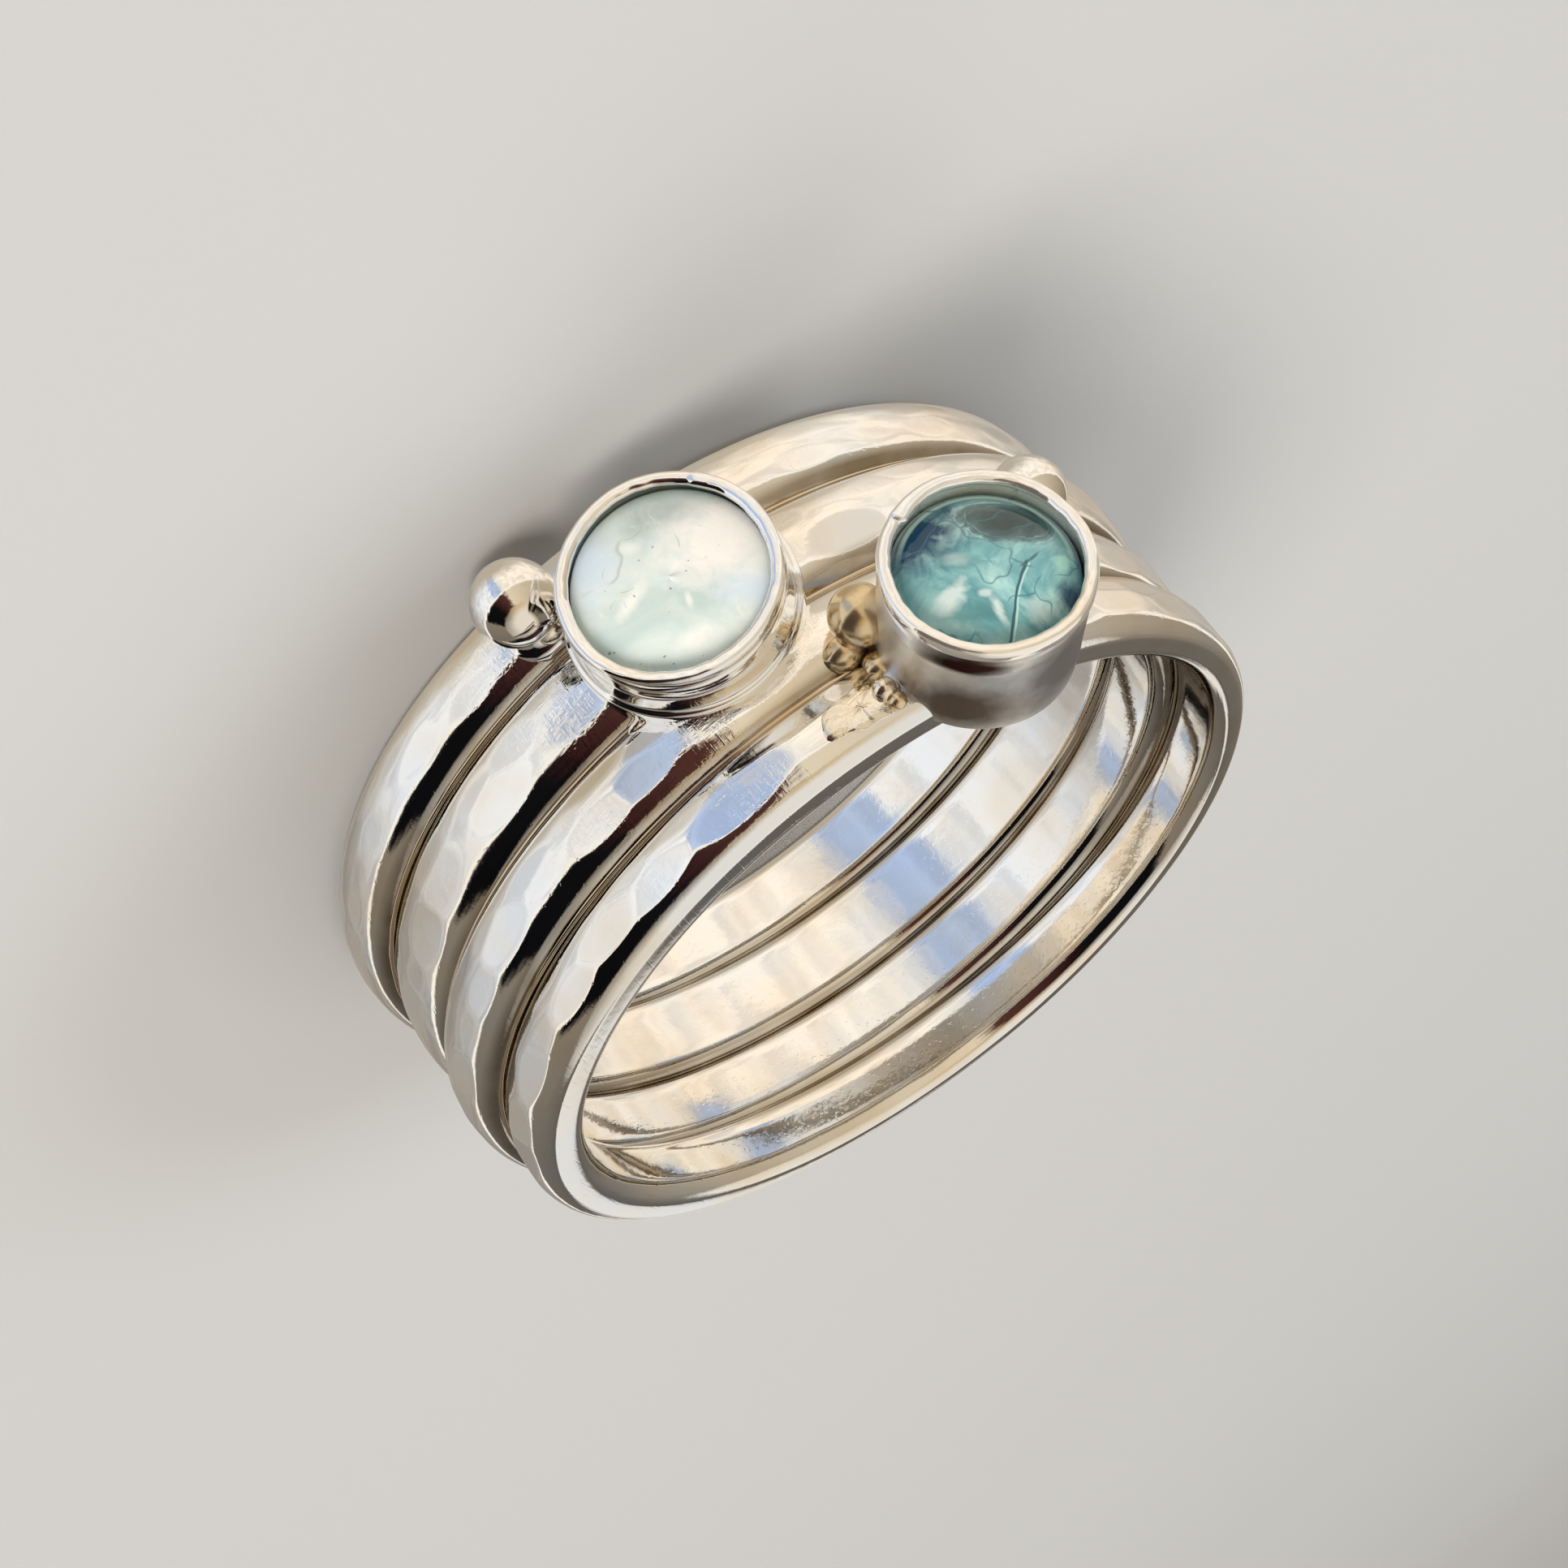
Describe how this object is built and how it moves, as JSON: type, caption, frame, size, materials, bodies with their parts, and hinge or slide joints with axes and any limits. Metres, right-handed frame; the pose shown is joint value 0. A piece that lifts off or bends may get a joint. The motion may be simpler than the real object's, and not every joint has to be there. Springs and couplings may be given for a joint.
{
  "type": "stackable ring",
  "caption": "Wide hammered silver finger ring of side-by-side bands, set with a low milky moonstone and a tall teal stone in bezel cups, with round beads beside them.",
  "frame": {"origin": "middle of the ring's footprint box, in the plane that it rests on when it lies on its side", "axes": "+Z along the finger hole's axis, from the plain back band towards the band with the tall stone; -Y towards the side of the ring that carries the stones"},
  "size_m": [0.0208, 0.0218, 0.0093],
  "materials": {
    "silver": null,
    "moonstone": "milky, nearly flat polished cabochon",
    "teal_stone": "transparent blue-green polished cabochon with inclusions"
  },
  "bodies": {
    "root": {"silver_ring": "silver", "moonstone": "moonstone", "teal_stone": "teal_stone"}
  },
  "joints": []
}
